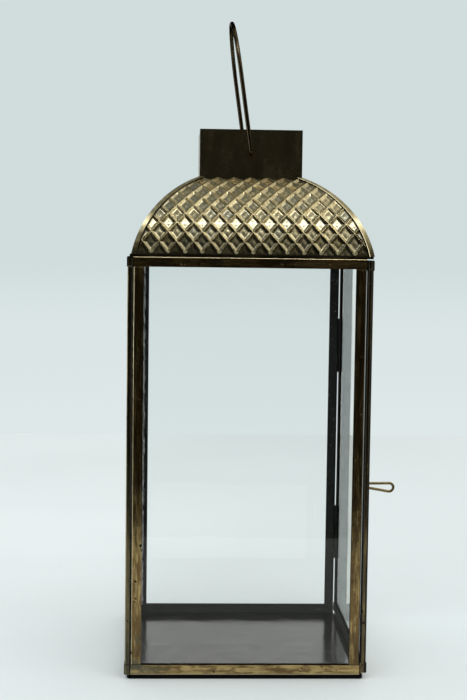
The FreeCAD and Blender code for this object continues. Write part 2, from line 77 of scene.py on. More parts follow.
class Graph:
    """A short way to wire one material's nodes. Object coordinates are the row frame, in metres."""

    def __init__(self, name):
        self.material = bpy.data.materials.new(name)
        self.material.use_nodes = True
        self.tree = self.material.node_tree
        self.tree.nodes.clear()
        self.place = self.node("ShaderNodeTexCoord").outputs["Object"]

    def node(self, kind, settings=(), inputs=()):
        """A node with its settings, and each input a socket to link or a value."""
        made = self.tree.nodes.new(kind)
        for name, setting in dict(settings).items():
            setattr(made, name, setting)
        for name, source in dict(inputs).items():
            self.feed(made.inputs[name], source)
        return made

    def feed(self, socket, source):
        if isinstance(source, bpy.types.NodeSocket):
            self.tree.links.new(source, socket)
        elif isinstance(source, (tuple, list)) and len(source) == 3 and socket.type == "RGBA":
            socket.default_value = (*source, 1)
        else:
            socket.default_value = source

    def noise(self, size, detail, seed, roughness=0.55, distortion=0.0):
        """Noise whose features are about size = (x, y, z) millimetres long; 0 to 1 about 0.5."""
        scale = tuple(1 / (length * MM) for length in size)
        mapped = self.node(
            "ShaderNodeMapping", {}, {"Vector": self.place, "Scale": scale, "Location": (seed, seed, seed)},
        )
        made = self.node(
            "ShaderNodeTexNoise",
            {"noise_dimensions": "3D"},
            {
                "Vector": mapped.outputs[0], "Scale": 1.0, "Detail": detail,
                "Roughness": roughness, "Distortion": distortion,
            },
        )
        return made.outputs["Fac"]

    def ramp(self, source, low, high, start=0.0, end=1.0):
        """source taken smoothly from start at low to end at high."""
        made = self.node(
            "ShaderNodeMapRange",
            {"interpolation_type": "SMOOTHSTEP", "clamp": True},
            {"Value": source, "From Min": low, "From Max": high, "To Min": start, "To Max": end},
        )
        return made.outputs[0]

    def math(self, operation, *sources, clamp=False):
        settings = {"operation": operation, "use_clamp": clamp}
        return self.node("ShaderNodeMath", settings, enumerate(sources)).outputs[0]

    def mix(self, share, first, second):
        """The colour first, with share of second over it. A Mix node's colours are its inputs 6 and 7."""
        made = self.node("ShaderNodeMix", {"data_type": "RGBA"}, {0: share, 6: first, 7: second})
        return made.outputs[2]

    def axis(self, letter):
        """One coordinate of the place, in metres."""
        return self.node("ShaderNodeSeparateXYZ", {}, {"Vector": self.place}).outputs[letter]

    def attribute(self, name):
        return self.node("ShaderNodeAttribute", {"attribute_name": name}).outputs["Fac"]

    def normal(self):
        """The x, y and z of the surface's direction, in the row frame."""
        direction = self.node("ShaderNodeTexCoord").outputs["Normal"]
        return self.node("ShaderNodeSeparateXYZ", {}, {"Vector": direction}).outputs

    def facing_in(self):
        """1 on faces that look into the lantern, 0 on faces that look out of it."""
        from_heart = self.node("ShaderNodeVectorMath", {"operation": "SUBTRACT"}, {0: self.place, 1: HEART})
        direction = self.node("ShaderNodeTexCoord").outputs["Normal"]
        outward = self.node(
            "ShaderNodeVectorMath", {"operation": "DOT_PRODUCT"}, {0: from_heart.outputs[0], 1: direction},
        )
        normal = self.normal()
        sideways = self.math("MULTIPLY", self.axis("X"), normal["X"])
        level = self.math("ADD", sideways, self.math("MULTIPLY", self.axis("Y"), normal["Y"]))
        inside = self.ramp(outward.outputs["Value"], 0.0, -10 * MM)
        return self.math("MAXIMUM", inside, self.ramp(level, -4 * MM, -12 * MM))

    def lap_dirt_and_shadow(self):
        """1 in the thin dark line on a stile where a rail laps over its end: joint dirt with a painted
        shadow of the rail's step.
        """
        z = self.axis("Z")
        above_sill = self.ramp(z, SILL_TOP + LAP_AWAY, SILL_TOP)
        low = self.math("MULTIPLY", self.ramp(z, SILL_TOP - LAP_RAILWARD, SILL_TOP), above_sill)
        below_head = self.ramp(z, HEAD_BOTTOM - LAP_AWAY, HEAD_BOTTOM)
        high = self.math("MULTIPLY", below_head, self.ramp(z, HEAD_BOTTOM + LAP_RAILWARD, HEAD_BOTTOM))
        return self.math("ADD", low, high)

    def outer_rim(self):
        """1 on the front edge of the door's stile, next to its outer face, where it is painted dark as
        painted shade.
        """
        forward = self.ramp(self.normal()["Y"], -0.5, -0.8)
        return self.math("MULTIPLY", self.ramp(self.axis("X"), RIM_UNSHADED, RIM_SHADED), forward)

    def bends(self):
        """1 on the rounded bends of the channels, between their flat faces."""
        x, y, z = (self.math("ABSOLUTE", part) for part in self.normal())
        squarest = self.math("MAXIMUM", self.math("MAXIMUM", x, y), z)
        return self.ramp(squarest, FLAT, BENT)

    def bends_towards(self, letter, sign=1):
        """1 on the bends that turn to the positive side of an axis, or with sign -1 to the negative side."""
        turned = self.ramp(self.normal()[letter], sign * TURNING, sign * TURNED)
        return self.math("MULTIPLY", self.bends(), turned)

    def shaded_bends(self):
        """1 on the bends that are painted nearly black as painted shade.

        Those are the bends towards +X, and the bottom rails' upper ones.
        """
        low_down = self.ramp(self.axis("Z"), 30 * MM, 20 * MM)
        sill = self.math("MULTIPLY", self.bends_towards("Z"), low_down)
        return self.math("MAXIMUM", self.bends_towards("X"), sill)

    def bump(self, height, depth, below=None):
        """A bump of the height 0 to 1, depth metres deep, over an earlier bump."""
        inputs = {"Height": height, "Distance": depth, "Strength": 1.0}
        if below is not None:
            inputs["Normal"] = below
        return self.node("ShaderNodeBump", {}, inputs).outputs[0]

    def finish(self, surface):
        output = self.tree.nodes.new("ShaderNodeOutputMaterial")
        self.tree.links.new(surface, output.inputs["Surface"])
        return self.material

    def principled(self, **inputs):
        named = {name.replace("_", " "): source for name, source in inputs.items()}
        return self.node("ShaderNodeBsdfPrincipled", {}, named).outputs[0]


GOLD = (0.68, 0.50, 0.235)
OLD_GOLD = (0.34, 0.235, 0.10)
BROWN = (0.17, 0.105, 0.052)
# Pale gold of worn bends, also a painted highlight on them.
WORN_BEND_HIGHLIGHT = (0.92, 0.78, 0.50)
UMBER = (0.085, 0.062, 0.036)
# Soot black for real specks and pits, also used as painted shade on bends, rims, lap lines and seams.
SOOT_AND_SHADE = (0.013, 0.012, 0.010)
# Painted shade for the faces that look into the lantern.
INNER_SHADE = (0.021, 0.022, 0.021)
GREY_GREEN = (0.15, 0.148, 0.11)
EDGE_TINT = (0.12, 0.11, 0.09)
TARNISH = (0.085, 0.082, 0.062)
FLUX = (0.30, 0.31, 0.30)

ROOF_DULL = (0.42, 0.36, 0.215)
ROOF_PALE = (0.68, 0.60, 0.375)
ROOF_PATINA = (0.34, 0.335, 0.26)
ROOF_DARK = (0.09, 0.082, 0.055)
ROOF_SPOT = (0.06, 0.055, 0.04)

SOLDER_DULL = (0.06, 0.062, 0.065)
SOLDER_BRIGHT = (0.74, 0.76, 0.77)
SOLDER_HOLLOW = (0.02, 0.02, 0.02)

FELT_DEEP = (0.0012, 0.0012, 0.0012)
FELT_NAP = (0.006, 0.006, 0.0055)
FELT_WORN = (0.013, 0.012, 0.011)

# The height of the drawn streaks in the brass.
DRAWN = 0.03 * MM


def aged_brass(
    name, grain, patch, patina, rough, seed, tarnish=0.0, brown=0.47, joints=False, rim=False,
):
    """Rubbed antique brass, painted nearly black on the faces that look inward, as painted shade inside the
    lantern.

    grain and patch = (x, y, z) are the sizes in millimetres of its drawn streaks and its brown patches.
    patina and tarnish (0 to 1) are how much umber and how much dull grey lie over it, and a lower brown
    gives more brown patches. joints adds the dark lines where rails lap over the ends of a stile, joint
    dirt with a painted shadow of the step, and rim the painted shade along the front edge of the door.
    """
    g = Graph(name)
    blotch = g.noise((30, 30, 42), detail=5, roughness=0.62, seed=seed)
    streak = g.noise(grain, detail=6, roughness=0.66, seed=seed + 5)
    patches = g.noise(patch, detail=6, roughness=0.68, seed=seed + 17)
    speck = g.noise((1.3, 1.3, 1.3), detail=3, roughness=0.7, seed=seed + 9)
    pits = g.noise((3.1, 3.1, 3.1), detail=1, roughness=0.4, seed=seed + 13)
    colour = g.mix(g.ramp(streak, 0.36, 0.62), OLD_GOLD, GOLD)
    colour = g.mix(g.ramp(patches, brown, brown + 0.14, 0, 0.86), colour, BROWN)
    worn = g.ramp(blotch, 0.62 - 0.22 * patina, 0.80 - 0.22 * patina)
    colour = g.mix(g.math("MULTIPLY", worn, 0.60), colour, UMBER)
    stain = g.ramp(g.noise((12, 12, 19), detail=6, roughness=0.7, seed=seed + 21), 0.58, 0.68)
    colour = g.mix(g.math("MULTIPLY", stain, 0.6), colour, GREY_GREEN)
    to_the_left = g.ramp(g.axis("X"), -50 * MM, -79 * MM)
    corner = g.math("MULTIPLY", to_the_left, g.ramp(g.axis("Z"), 17 * MM, 12.5 * MM))
    corner = g.math("MULTIPLY", corner, g.ramp(patches, 0.36, 0.52))
    colour = g.mix(g.math("MULTIPLY", corner, 0.85), colour, GREY_GREEN)
    if tarnish:
        colour = g.mix(g.ramp(patches, 0.30, 0.62, 0.72 * tarnish, tarnish), colour, TARNISH)
    colour = g.mix(g.ramp(speck, 0.62, 0.72, 0, 0.7), colour, UMBER)
    # Wear and painted highlight: the bends are painted pale gold.
    bright = g.ramp(blotch, 0.25, 0.55, 0.5 - 0.4 * tarnish, 1.0 - 0.7 * tarnish)
    colour = g.mix(g.math("MULTIPLY", g.bends(), bright), colour, WORN_BEND_HIGHLIGHT)
    pit = g.ramp(pits, 0.75, 0.78)
    hidden = g.facing_in()
    # Painted shade: the bends towards +X and the bottom rails' upper bends are painted nearly black.
    shade_and_lap_dirt = g.math("MULTIPLY", g.shaded_bends(), 0.97)
    if joints:
        # Joint dirt with a painted shadow: the dark line where a rail laps over a stile.
        shade_and_lap_dirt = g.math("MAXIMUM", shade_and_lap_dirt, g.math("MULTIPLY", g.lap_dirt_and_shadow(), 0.9))
    if rim:
        # Painted shade: the door stile's outer front edge and its bends towards the gap at -X are painted
        # nearly black.
        shade_and_lap_dirt = g.math("MAXIMUM", shade_and_lap_dirt, g.math("MULTIPLY", g.outer_rim(), 0.95))
        shade_and_lap_dirt = g.math("MAXIMUM", shade_and_lap_dirt, g.math("MULTIPLY", g.bends_towards("X", -1), 0.97))
    # Real pits together with the painted shade and lap lines, all painted nearly black.
    black = g.math("MAXIMUM", pit, shade_and_lap_dirt)
    colour = g.mix(black, colour, SOOT_AND_SHADE)
    # Painted shade: the faces that look into the lantern are painted nearly black and made dull.
    colour = g.mix(hidden, colour, INNER_SHADE)
    flux = g.math("MULTIPLY", g.ramp(speck, 0.655, 0.70), hidden)
    colour = g.mix(g.math("MULTIPLY", flux, 0.8), colour, FLUX)
    satin = g.math("ADD", g.ramp(streak, 0.3, 0.75, rough - 0.04, rough + 0.07), g.ramp(worn, 0, 1, 0, 0.06))
    satin = g.math("ADD", satin, g.math("MULTIPLY", black, 0.26))
    satin = g.math("ADD", satin, g.math("MULTIPLY", hidden, 0.45), clamp=True)
    relief = g.bump(streak, DRAWN)
    relief = g.bump(g.noise((24, 24, 24), detail=2, seed=seed + 31), 0.22 * MM, relief)
    relief = g.bump(speck, 0.04 * MM, relief)
    relief = g.bump(g.math("SUBTRACT", 1.0, pit), 0.1 * MM, relief)
    metal = g.math("SUBTRACT", 1.0, g.math("MAXIMUM", hidden, shade_and_lap_dirt))
    return g.finish(
        g.principled(
            Base_Color=colour, Metallic=metal, Roughness=satin,
            Specular_IOR_Level=0.0, Specular_Tint=EDGE_TINT, Normal=relief,
        )
    )


def embossed_brass():
    """The roof's sheet: pale rubbed brass, with a grey-green patina in the sunk diamonds.

    The relief attribute, and the attribute for the dark line beside each hip strip, seam dirt with painted
    shade, come from embossed_panel.
    """
    g = Graph("roof_brass_embossed")
    depth = g.attribute("relief")
    blotch = g.noise((22, 22, 22), detail=5, roughness=0.6, seed=3)
    mottle = g.noise((3.4, 3.4, 3.4), detail=5, roughness=0.65, seed=8)
    fine = g.noise((0.9, 0.9, 0.9), detail=2, roughness=0.6, seed=12)
    colour = g.mix(g.ramp(mottle, 0.36, 0.62), ROOF_DULL, ROOF_PALE)
    sunk = g.math("MULTIPLY", g.ramp(depth, 0.70, 1.10), g.ramp(blotch, 0.36, 0.64, 0.45, 0.95))
    colour = g.mix(sunk, colour, ROOF_PATINA)
    # Painted shade: the lowest rows of the roof are painted darker, and the top rows by the chimney are
    # painted darker too.
    above_hem = g.math("SUBTRACT", g.axis("Z"), HEM_Z)
    low_rows = g.ramp(above_hem, 22 * MM, 4 * MM, 0.0, 0.45)
    top_rows = g.ramp(above_hem, 42 * MM, 56 * MM, 0.0, 0.35)
    colour = g.mix(g.math("MAXIMUM", low_rows, top_rows), colour, ROOF_DARK)
    colour = g.mix(g.ramp(fine, 0.64, 0.74, 0, 0.55), colour, ROOF_SPOT)
    # Seam dirt with painted shade: the line beside each hip strip is painted nearly black.
    colour = g.mix(g.attribute("seam_dirt_and_shade"), colour, SOOT_AND_SHADE)
    satin = g.math("ADD", g.ramp(mottle, 0.3, 0.75, 0.11, 0.21), g.math("MULTIPLY", sunk, 0.05))
    satin = g.math("ADD", satin, g.math("MULTIPLY", g.attribute("seam_dirt_and_shade"), 0.3))
    relief = g.bump(mottle, 0.1 * MM)
    relief = g.bump(fine, 0.03 * MM, relief)
    return g.finish(g.principled(Base_Color=colour, Metallic=1.0, Roughness=satin, Normal=relief))


def streaked_brass(name, base, light, grain, rough, seed, edge=(1, 1, 1), rubbed=0.0):
    """Brass in two shades, the light one in drawn streaks.

    edge tints its mirror at a glancing angle, and rubbed (0 to 1) is how strongly its bends are painted pale
    gold, as wear and a painted highlight.
    """
    g = Graph(name)
    blotch = g.noise((28, 28, 28), detail=5, roughness=0.6, seed=seed)
    streak = g.noise(grain, detail=6, roughness=0.68, seed=seed + 4)
    speck = g.noise((1.1, 1.1, 1.1), detail=3, roughness=0.7, seed=seed + 7)
    share = g.math("MULTIPLY", g.ramp(streak, 0.38, 0.70), g.ramp(blotch, 0.36, 0.68, 0.35, 1.0))
    colour = g.mix(share, base, light)
    colour = g.mix(g.ramp(speck, 0.66, 0.75, 0, 0.3), colour, SOOT_AND_SHADE)
    # Wear and painted highlight: the bends are painted pale gold.
    if rubbed:
        colour = g.mix(g.math("MULTIPLY", g.bends(), rubbed), colour, WORN_BEND_HIGHLIGHT)
    satin = g.ramp(streak, 0.3, 0.75, rough - 0.05, rough + 0.08)
    satin = g.math("ADD", satin, g.ramp(blotch, 0.3, 0.7, 0, 0.06))
    relief = g.bump(streak, DRAWN)
    relief = g.bump(g.noise((30, 30, 30), detail=2, seed=seed + 17), 0.5 * MM, relief)
    return g.finish(
        g.principled(
            Base_Color=colour, Metallic=1.0, Roughness=satin, Specular_Tint=edge, Normal=relief,
        )
    )


def clear_glass(name, tint):
    """Clear glass, faintly wavy, with a few wiped smears. Lamps shine through it."""
    g = Graph(name)
    smear = g.noise((46, 46, 15), detail=4, roughness=0.6, distortion=1.2, seed=2)
    satin = g.ramp(smear, 0.60, 0.78, 0.0, 0.035)
    wave = g.noise((70, 70, 42), detail=1, roughness=0.3, seed=6)
    pane = g.principled(
        Base_Color=tint, Roughness=satin, IOR=1.32,
        Transmission_Weight=1.0, Normal=g.bump(wave, 0.08 * MM),
    )
    clear = g.node("ShaderNodeBsdfTransparent", {}, {"Color": (0.96, 0.98, 0.975)}).outputs[0]
    lamp = g.node("ShaderNodeLightPath").outputs["Is Shadow Ray"]
    mixed = g.node("ShaderNodeMixShader", {}, {0: lamp, 1: pane, 2: clear})
    return g.finish(mixed.outputs[0])


def old_solder():
    """Dull grey solder with bright scraped streaks and dark flux in its hollows."""
    g = Graph("old_solder")
    run = g.noise((1.2, 1.2, 11), detail=5, roughness=0.7, seed=4)
    blob = g.noise((2.0, 2.0, 7.0), detail=3, roughness=0.6, seed=9)
    colour = g.mix(g.ramp(run, 0.42, 0.58), SOLDER_DULL, SOLDER_BRIGHT)
    colour = g.mix(g.ramp(blob, 0.56, 0.66), colour, SOLDER_HOLLOW)
    satin = g.ramp(run, 0.35, 0.7, 0.30, 0.55)
    relief = g.bump(blob, 0.4 * MM)
    return g.finish(g.principled(Base_Color=colour, Metallic=0.25, Roughness=satin, Normal=relief))


def black_felt():
    """Matt black felt, its fibres showing as a fine nap. Its near-black is also a painted shadow under the
    lantern's base.
    """
    g = Graph("black_felt")
    nap = g.noise((0.5, 0.5, 0.5), detail=4, roughness=0.7, seed=1)
    worn = g.noise((14, 14, 3), detail=4, roughness=0.6, seed=5)
    # Black felt, darkened further as the painted shadow under the base.
    colour = g.mix(g.ramp(nap, 0.35, 0.7), FELT_DEEP, FELT_NAP)
    colour = g.mix(g.ramp(worn, 0.60, 0.75, 0, 0.5), colour, FELT_WORN)
    relief = g.bump(nap, 0.2 * MM)
    return g.finish(
        g.principled(
            Base_Color=colour, Roughness=g.ramp(nap, 0.3, 0.7, 0.85, 1.0),
            Specular_IOR_Level=0.12, Normal=relief,
        )
    )


# Streaks and patches, in millimetres, on strips drawn upright and strips drawn across.
UPRIGHT = {"grain": (1.4, 1.4, 40), "patch": (4.5, 4.5, 26)}
ACROSS = {"grain": (26, 26, 1.6), "patch": (12, 12, 4)}

MATERIALS = {
    "upright": aged_brass(
        "brass_upright", **UPRIGHT, patina=0.55, rough=0.16, seed=3, brown=0.39, joints=True,
    ),
    "across": aged_brass("brass_across", **ACROSS, patina=0.25, rough=0.16, seed=11, brown=0.46),
    "upright_left": aged_brass(
        "brass_upright_left", **UPRIGHT, patina=0.6, rough=0.18, seed=41, tarnish=0.92, joints=True,
    ),
    "across_left": aged_brass(
        "brass_across_left", **ACROSS, patina=0.6, rough=0.18, seed=51, tarnish=0.85,
    ),
    "upright_door": aged_brass(
        "brass_upright_door", **UPRIGHT, patina=0.5, rough=0.18, seed=61, tarnish=0.62, brown=0.40,
        joints=True, rim=True,
    ),
    "across_door": aged_brass(
        "brass_across_door", **ACROSS, patina=0.5, rough=0.18, seed=71, tarnish=0.45, rim=True,
    ),
    "sheet": aged_brass(
        "brass_sheet", grain=(9, 9, 9), patch=(10, 10, 10), patina=0.6, rough=0.24, seed=23,
    ),
    "wire": streaked_brass(
        "brass_wire", (0.055, 0.044, 0.028), (0.16, 0.125, 0.08),
        grain=(4, 4, 26), rough=0.22, seed=2, edge=(0.13, 0.12, 0.10),
    ),
    "pull": streaked_brass(
        "brass_pull", (0.22, 0.17, 0.09), (0.46, 0.37, 0.22),
        grain=(6, 2, 2), rough=0.22, seed=6, edge=(0.35, 0.32, 0.25),
    ),
    "chimney": streaked_brass(
        "brass_chimney", (0.275, 0.23, 0.145), (0.325, 0.265, 0.16),
        grain=(14, 14, 50), rough=0.22, seed=14, rubbed=0.9,
    ),
    # Painted shade: the eave ring is painted nearly black, the shaded gap between the roof's hem and the
    # rails.
    "eave": streaked_brass(
        "brass_eave", (0.03, 0.026, 0.018), (0.10, 0.08, 0.05),
        grain=(20, 20, 3), rough=0.35, seed=31, edge=(0.2, 0.2, 0.2),
    ),
    "hip": streaked_brass(
        "brass_hip", (0.36, 0.315, 0.19), (0.66, 0.585, 0.38), grain=(4, 4, 9), rough=0.20, seed=37,
    ),
    "eyelet": aged_brass(
        "brass_eyelet", grain=(3, 3, 3), patch=(5, 5, 5), patina=0.0, rough=0.15, seed=33,
    ),
    "plate": streaked_brass(
        "brass_plate", (0.175, 0.169, 0.179), (0.258, 0.25, 0.262),
        grain=(16, 16, 16), rough=0.13, seed=19,
    ),
    "roof": embossed_brass(),
    "glass": clear_glass("clear_glass", (0.992, 1.0, 0.998)),
    "side_glass": clear_glass("clear_side_glass", (0.955, 0.992, 0.988)),
    "solder": old_solder(),
    "felt": black_felt(),
}


def paint(obj, material):
    """Give an object one of MATERIALS and nothing else."""
    obj.data.materials.clear()
    obj.data.materials.append(MATERIALS[material])


def finish_of(node):
    """The material of a CAD node that stays, told from its name."""
    named = {
        "base_pad": "felt", "base_plate": "plate", "chimney_box": "chimney", "bail_handle": "wire",
        "door_pull": "pull", "eave_ring": "eave", "left_glass": "side_glass", "door_glass": "side_glass",
        "roof_hip_seams": "hip", "handle_eyelets": "eyelet",
    }
    if node in named:
        return named[node]
    panel = ""
    if node.startswith("left_"):
        panel = "_left"
    elif node.startswith(("door_", "hinge_")):
        panel = "_door"
    if node.endswith("_stile") or node.startswith("hinge_"):
        return "upright" + panel
    if node.endswith("_rail"):
        return "across" + panel
    return "glass" if node.endswith("_glass") else "sheet"


for node_name, node_object in NODES.items():
    paint(node_object, finish_of(node_name))

CHIMNEY_EDGE = 0.4 * MM
softened = NODES["chimney_box"].modifiers.new("softened_edges", "BEVEL")
softened.width = CHIMNEY_EDGE
softened.segments = 2

# ---------------------------------------------------------------- helpers for new pieces


def add_piece(name, mesh, material, body, slot, *replaced):
    """Put a new piece in the scene, riding on a CAD body and standing for CAD nodes."""
    obj = bpy.data.objects.new(name, mesh)
    bpy.context.scene.collection.objects.link(obj)
    paint(obj, material)
    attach(obj, body)
    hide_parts(*replaced)
    return obj


def mesh_of(bm, name):
    """The bmesh as a mesh, shaded smooth. The bmesh is used up."""
    for face in bm.faces:
        face.smooth = True
    mesh = bpy.data.meshes.new(name)
    bm.to_mesh(mesh)
    bm.free()
    return mesh


# ---------------------------------------------------------------- embossed roof

chimney_low, chimney_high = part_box("chimney_box")
AXIS_X = (chimney_low.x + chimney_high.x) / 2
CHIMNEY_HALF = (chimney_high.x - chimney_low.x) / 2
ROOF_HALF = roof_high.x - AXIS_X
# The roof's section is an arc of radius BOW, whose centre lies BOW_DROP below the hem.
BOW = 81.4 * MM
BOW_DROP = 16.5 * MM
BOW_X = ROOF_HALF - math.sqrt(BOW ** 2 - BOW_DROP ** 2)
BOW_START = math.asin(BOW_DROP / BOW)
ARC_LENGTH = BOW * (math.acos((CHIMNEY_HALF - BOW_X) / BOW) - BOW_START)
MITRE_GAP = 0.1 * MM

CELL_WIDTH = 12.46 * MM
CELL_HEIGHT = 15.83 * MM
FIRST_TIP = 1.7 * MM
EMBOSS = 1.25 * MM
PANEL_SEED = 100
# How much each cell's depth and the place of its middle vary.
DEPTH_SPREAD = (0.86, 1.10)
MIDDLE_SPREAD = (0.465, 0.535)
# The hem is flat at this depth of the relief, up to HEM_FLAT, and the relief is full from HEM_END.
HEM_DEPTH = 1.0
HEM_FLAT = 0.6 * MM
HEM_END = 2.6 * MM
# The strip at each hip that the folded seam covers, and the dark line beside it, seam dirt with painted
# shade, that fades out.
HIP_STRIP = 3.2 * MM
SEAM_DARK_FULL = 0.4 * MM
SEAM_DARK_END = 1.6 * MM
# How far the ridges wander and the sheet is dented, how often (per metre) each varies, and the distance
# from the hem over which the dents grow to full depth.
WANDER = 0.16 * MM
WANDER_RATE = 90
DENT = 0.28 * MM
DENT_RATE = 34
DENT_START = 6 * MM
SHEET = 0.6 * MM
# A vertex closer to a cutting plane than this (metres) counts as lying on it.
ON_PLANE = 1e-7
# Places across half a cell, from its ridge (0) to its middle (0.5), and how deep the sheet lies there.
CELL_PROFILE = (
    (0.0, 0.0), (0.014, 0.03), (0.03, 0.12), (0.07, 0.36), (0.12, 0.63), (0.17, 0.87), (0.20, 0.965),
    (0.23, 1.01), (0.29, 1.04), (0.40, 0.97), (0.5, 0.92),
)


def profile_depth(inset):
    """Depth of the relief, 0 to 1.04, at an inset from the nearest ridge."""
    for (near, near_depth), (far, far_depth) in zip(CELL_PROFILE, CELL_PROFILE[1:]):
        if inset <= far:
            return near_depth + (far_depth - near_depth) * (inset - near) / (far - near)
    return CELL_PROFILE[-1][1]


def smooth_step(low, high, number):
    """0 up to low, 1 from high, and a smooth rise between."""
    share = min(1.0, max(0.0, (number - low) / (high - low)))
    return share * share * (3 - 2 * share)


def embossed_panel(label, turn):
    """One curved roof sheet, its sunk diamonds between raised ridges, cut at the hem, hips and chimney."""
    rng = random.Random(PANEL_SEED + turn)
    steps = [place for place, _ in CELL_PROFILE]
    steps += [1 - place for place in reversed(steps[1:-1])]
    count = len(steps)
    bm = bmesh.new()
    relief = bm.verts.layers.float.new("relief")
    seam_dirt_and_shade = bm.verts.layers.float.new("seam_dirt_and_shade")
    made = {}
    cells = {}

    def cell_shape(i, j):
        if (i, j) not in cells:
            spreads = (DEPTH_SPREAD, MIDDLE_SPREAD, MIDDLE_SPREAD)
            cells[i, j] = tuple(rng.uniform(*spread) for spread in spreads)
        return cells[i, j]

    def inset_from(share, middle):
        return share / (2 * middle) if share < middle else (1 - share) / (2 * (1 - middle))

    def vertex(row, column):
        if (row, column) in made:
            return made[row, column]
        i, j = row // count, column // count
        p_share, q_share = steps[row % count], steps[column % count]
        along = (i + p_share - j - q_share) * CELL_WIDTH / 2
        up = FIRST_TIP + (i + p_share + j + q_share) * CELL_HEIGHT / 2
        deep, p_middle, q_middle = cell_shape(i, j)
        inset = min(inset_from(p_share, p_middle), inset_from(q_share, q_middle))
        depth = deep * profile_depth(inset)
        depth = HEM_DEPTH + (depth - HEM_DEPTH) * smooth_step(HEM_FLAT, HEM_END, up)
        wander = Vector((along * WANDER_RATE, up * WANDER_RATE, turn))
        along += WANDER * noise.noise(wander)
        up += WANDER * noise.noise(wander + Vector((7, 3, 1)))
        dent = noise.noise(Vector((along * DENT_RATE, up * DENT_RATE, turn + 5)))
        uneven = DENT * (0.5 + 0.5 * dent)
        radius = BOW - EMBOSS * depth - uneven * smooth_step(0, DENT_START, up)
        angle = BOW_START + up / BOW
        corner = bm.verts.new((
            BOW_X + radius * math.cos(angle), along, -BOW_DROP + radius * math.sin(angle),
        ))
        corner[relief] = depth
        past_strip = BOW_X + BOW * math.cos(angle) - abs(along) - HIP_STRIP
        corner[seam_dirt_and_shade] = 1 - smooth_step(SEAM_DARK_FULL, SEAM_DARK_END, past_strip)
        made[row, column] = corner
        return corner

    reach = int(2 * ROOF_HALF / CELL_WIDTH) + 3
    for i in range(-reach, reach):
        for j in range(-reach, reach):
            middle_up = FIRST_TIP + (i + j + 1) * CELL_HEIGHT / 2
            middle_along = abs(i - j) * CELL_WIDTH / 2
            if not -CELL_HEIGHT / 2 < middle_up < ARC_LENGTH + CELL_HEIGHT / 2:
                continue
            hip = BOW_X + BOW * math.cos(BOW_START + max(0, middle_up - CELL_HEIGHT / 2) / BOW)
            if middle_along - CELL_WIDTH / 2 > hip:
                continue
            for a in range(count):
                for b in range(count):
                    row, column = i * count + a, j * count + b
                    bm.faces.new((
                        vertex(row, column), vertex(row + 1, column),
                        vertex(row + 1, column + 1), vertex(row, column + 1),
                    ))
    cuts = (
        (Vector((0, 0, 0)), Vector((0, 0, -1))),
        (Vector((MITRE_GAP, 0, 0)), Vector((-1, 1, 0))),
        (Vector((MITRE_GAP, 0, 0)), Vector((-1, -1, 0))),
        (Vector((CHIMNEY_HALF + MITRE_GAP, 0, 0)), Vector((-1, 0, 0))),
    )
    for point, away in cuts:
        geometry = bm.verts[:] + bm.edges[:] + bm.faces[:]
        bmesh.ops.bisect_plane(
            bm, geom=geometry, dist=ON_PLANE, plane_co=point, plane_no=away.normalized(), clear_outer=True,
        )
    bm.normal_update()
    outward = sum((face.normal.x + face.normal.z for face in bm.faces), 0.0)
    if outward < 0:
        bmesh.ops.reverse_faces(bm, faces=bm.faces[:])
    where = Matrix.Translation((AXIS_X, 0, HEM_Z)) @ Matrix.Rotation(math.radians(turn), 4, "Z")
    bmesh.ops.transform(bm, matrix=where, verts=bm.verts[:])
    piece = add_piece(
        f"{label}_embossed", mesh_of(bm, f"{label}_embossed"), "roof", "lantern", "roof_brass", label,
    )
    shell = piece.modifiers.new("sheet", "SOLIDIFY")
    shell.thickness = SHEET
    shell.offset = -1


for roof_label, roof_turn in (
    ("roof_right_panel", 0), ("roof_back_panel", 90), ("roof_left_panel", 180), ("roof_front_panel", 270),
):
    embossed_panel(roof_label, roof_turn)

# ---------------------------------------------------------------- solder in the fixed corners

seam_low, seam_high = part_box("corner_solder_seams")
SEAM_LEG = 5.6 * MM
SEAM_STEP = 1.5 * MM
SEAM_SIDES = 9
# The shares of the leg that it keeps on average and that it varies by, and how often (per metre).
LEG_SHARE = 0.93
LEG_SPREAD = 0.16
LEG_RATE = 160
# The height of the lumps, their mean and spread as shares of it, and how often they come (per metre).
LUMP = 0.9 * MM
LUMP_MEAN = 0.5
LUMP_SPREAD = 1.4
LUMP_RATE = 230
# How far the lumps' noise moves on from one side of a run to the other.
LUMP_TURN = 2.2


def solder_runs():
    """The two lumpy runs of solder that fill the fixed inside corners, the rear one first."""
    bm = bmesh.new()
    steps = round((seam_high.z - seam_low.z) / SEAM_STEP)
    for side, start in ((1, 0.0), (-1, 40.0)):
        rings = []
        for step in range(steps + 1):
            z = seam_low.z + (seam_high.z - seam_low.z) * step / steps
            leg = SEAM_LEG * (LEG_SHARE + LEG_SPREAD * noise.noise(Vector((start, 3, z * LEG_RATE))))
            corner = Vector((seam_low.x, side * seam_high.y, z))
            ring = [bm.verts.new(corner)]
            for number in range(SEAM_SIDES):
                share = number / (SEAM_SIDES - 1)
                lump = noise.noise(Vector((start + share * LUMP_TURN, 11, z * LUMP_RATE)))
                fill = LUMP * math.sin(math.pi * share) * (LUMP_MEAN + LUMP_SPREAD * lump)
                inward = Vector((1, -side, 0)).normalized() * fill
                ring.append(bm.verts.new(
                    corner + Vector((leg * share, -side * leg * (1 - share), 0)) + inward,
                ))
            rings.append(ring)
        around = len(rings[0])
        for lower, upper in zip(rings, rings[1:]):
            for number in range(around):
                following = (number + 1) % around
                bm.faces.new((lower[number], lower[following], upper[following], upper[number]))
        bm.faces.new(rings[0])
        bm.faces.new(rings[-1])
    bmesh.ops.recalc_face_normals(bm, faces=bm.faces[:])
    add_piece(
        "corner_solder_runs", mesh_of(bm, "corner_solder_runs"), "solder", "lantern", "solder",
        "corner_solder_seams",
    )


solder_runs()

# ---------------------------------------------------------------- stage, world, lights and camera

